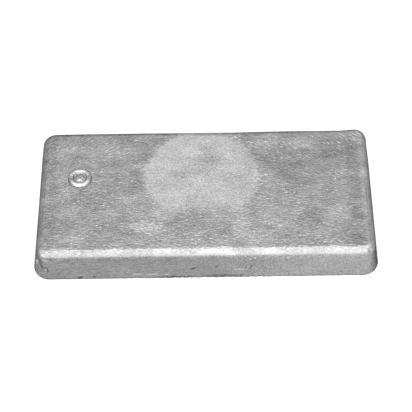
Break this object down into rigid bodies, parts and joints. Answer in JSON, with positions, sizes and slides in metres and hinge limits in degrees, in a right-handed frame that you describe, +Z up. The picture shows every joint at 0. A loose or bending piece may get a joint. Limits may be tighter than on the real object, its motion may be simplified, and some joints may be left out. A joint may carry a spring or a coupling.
{
  "type": "zinc plate",
  "caption": "Cast zinc plate: a flat rectangular slab with sides that lean in, rounded corners and top edge, and a small raised ring with a hexagon on its top face.",
  "frame": {"origin": "centre of the flat base, which lies on the floor", "axes": "+X along the length, away from the ring mark's end; +Y across the width, towards the long side that the ring mark is nearer; +Z up, out of the top face"},
  "size_m": [0.1998, 0.0998, 0.0216],
  "materials": {
    "cast_zinc": "satin"
  },
  "bodies": {
    "root": {"zinc_plate": "cast_zinc"}
  },
  "joints": []
}
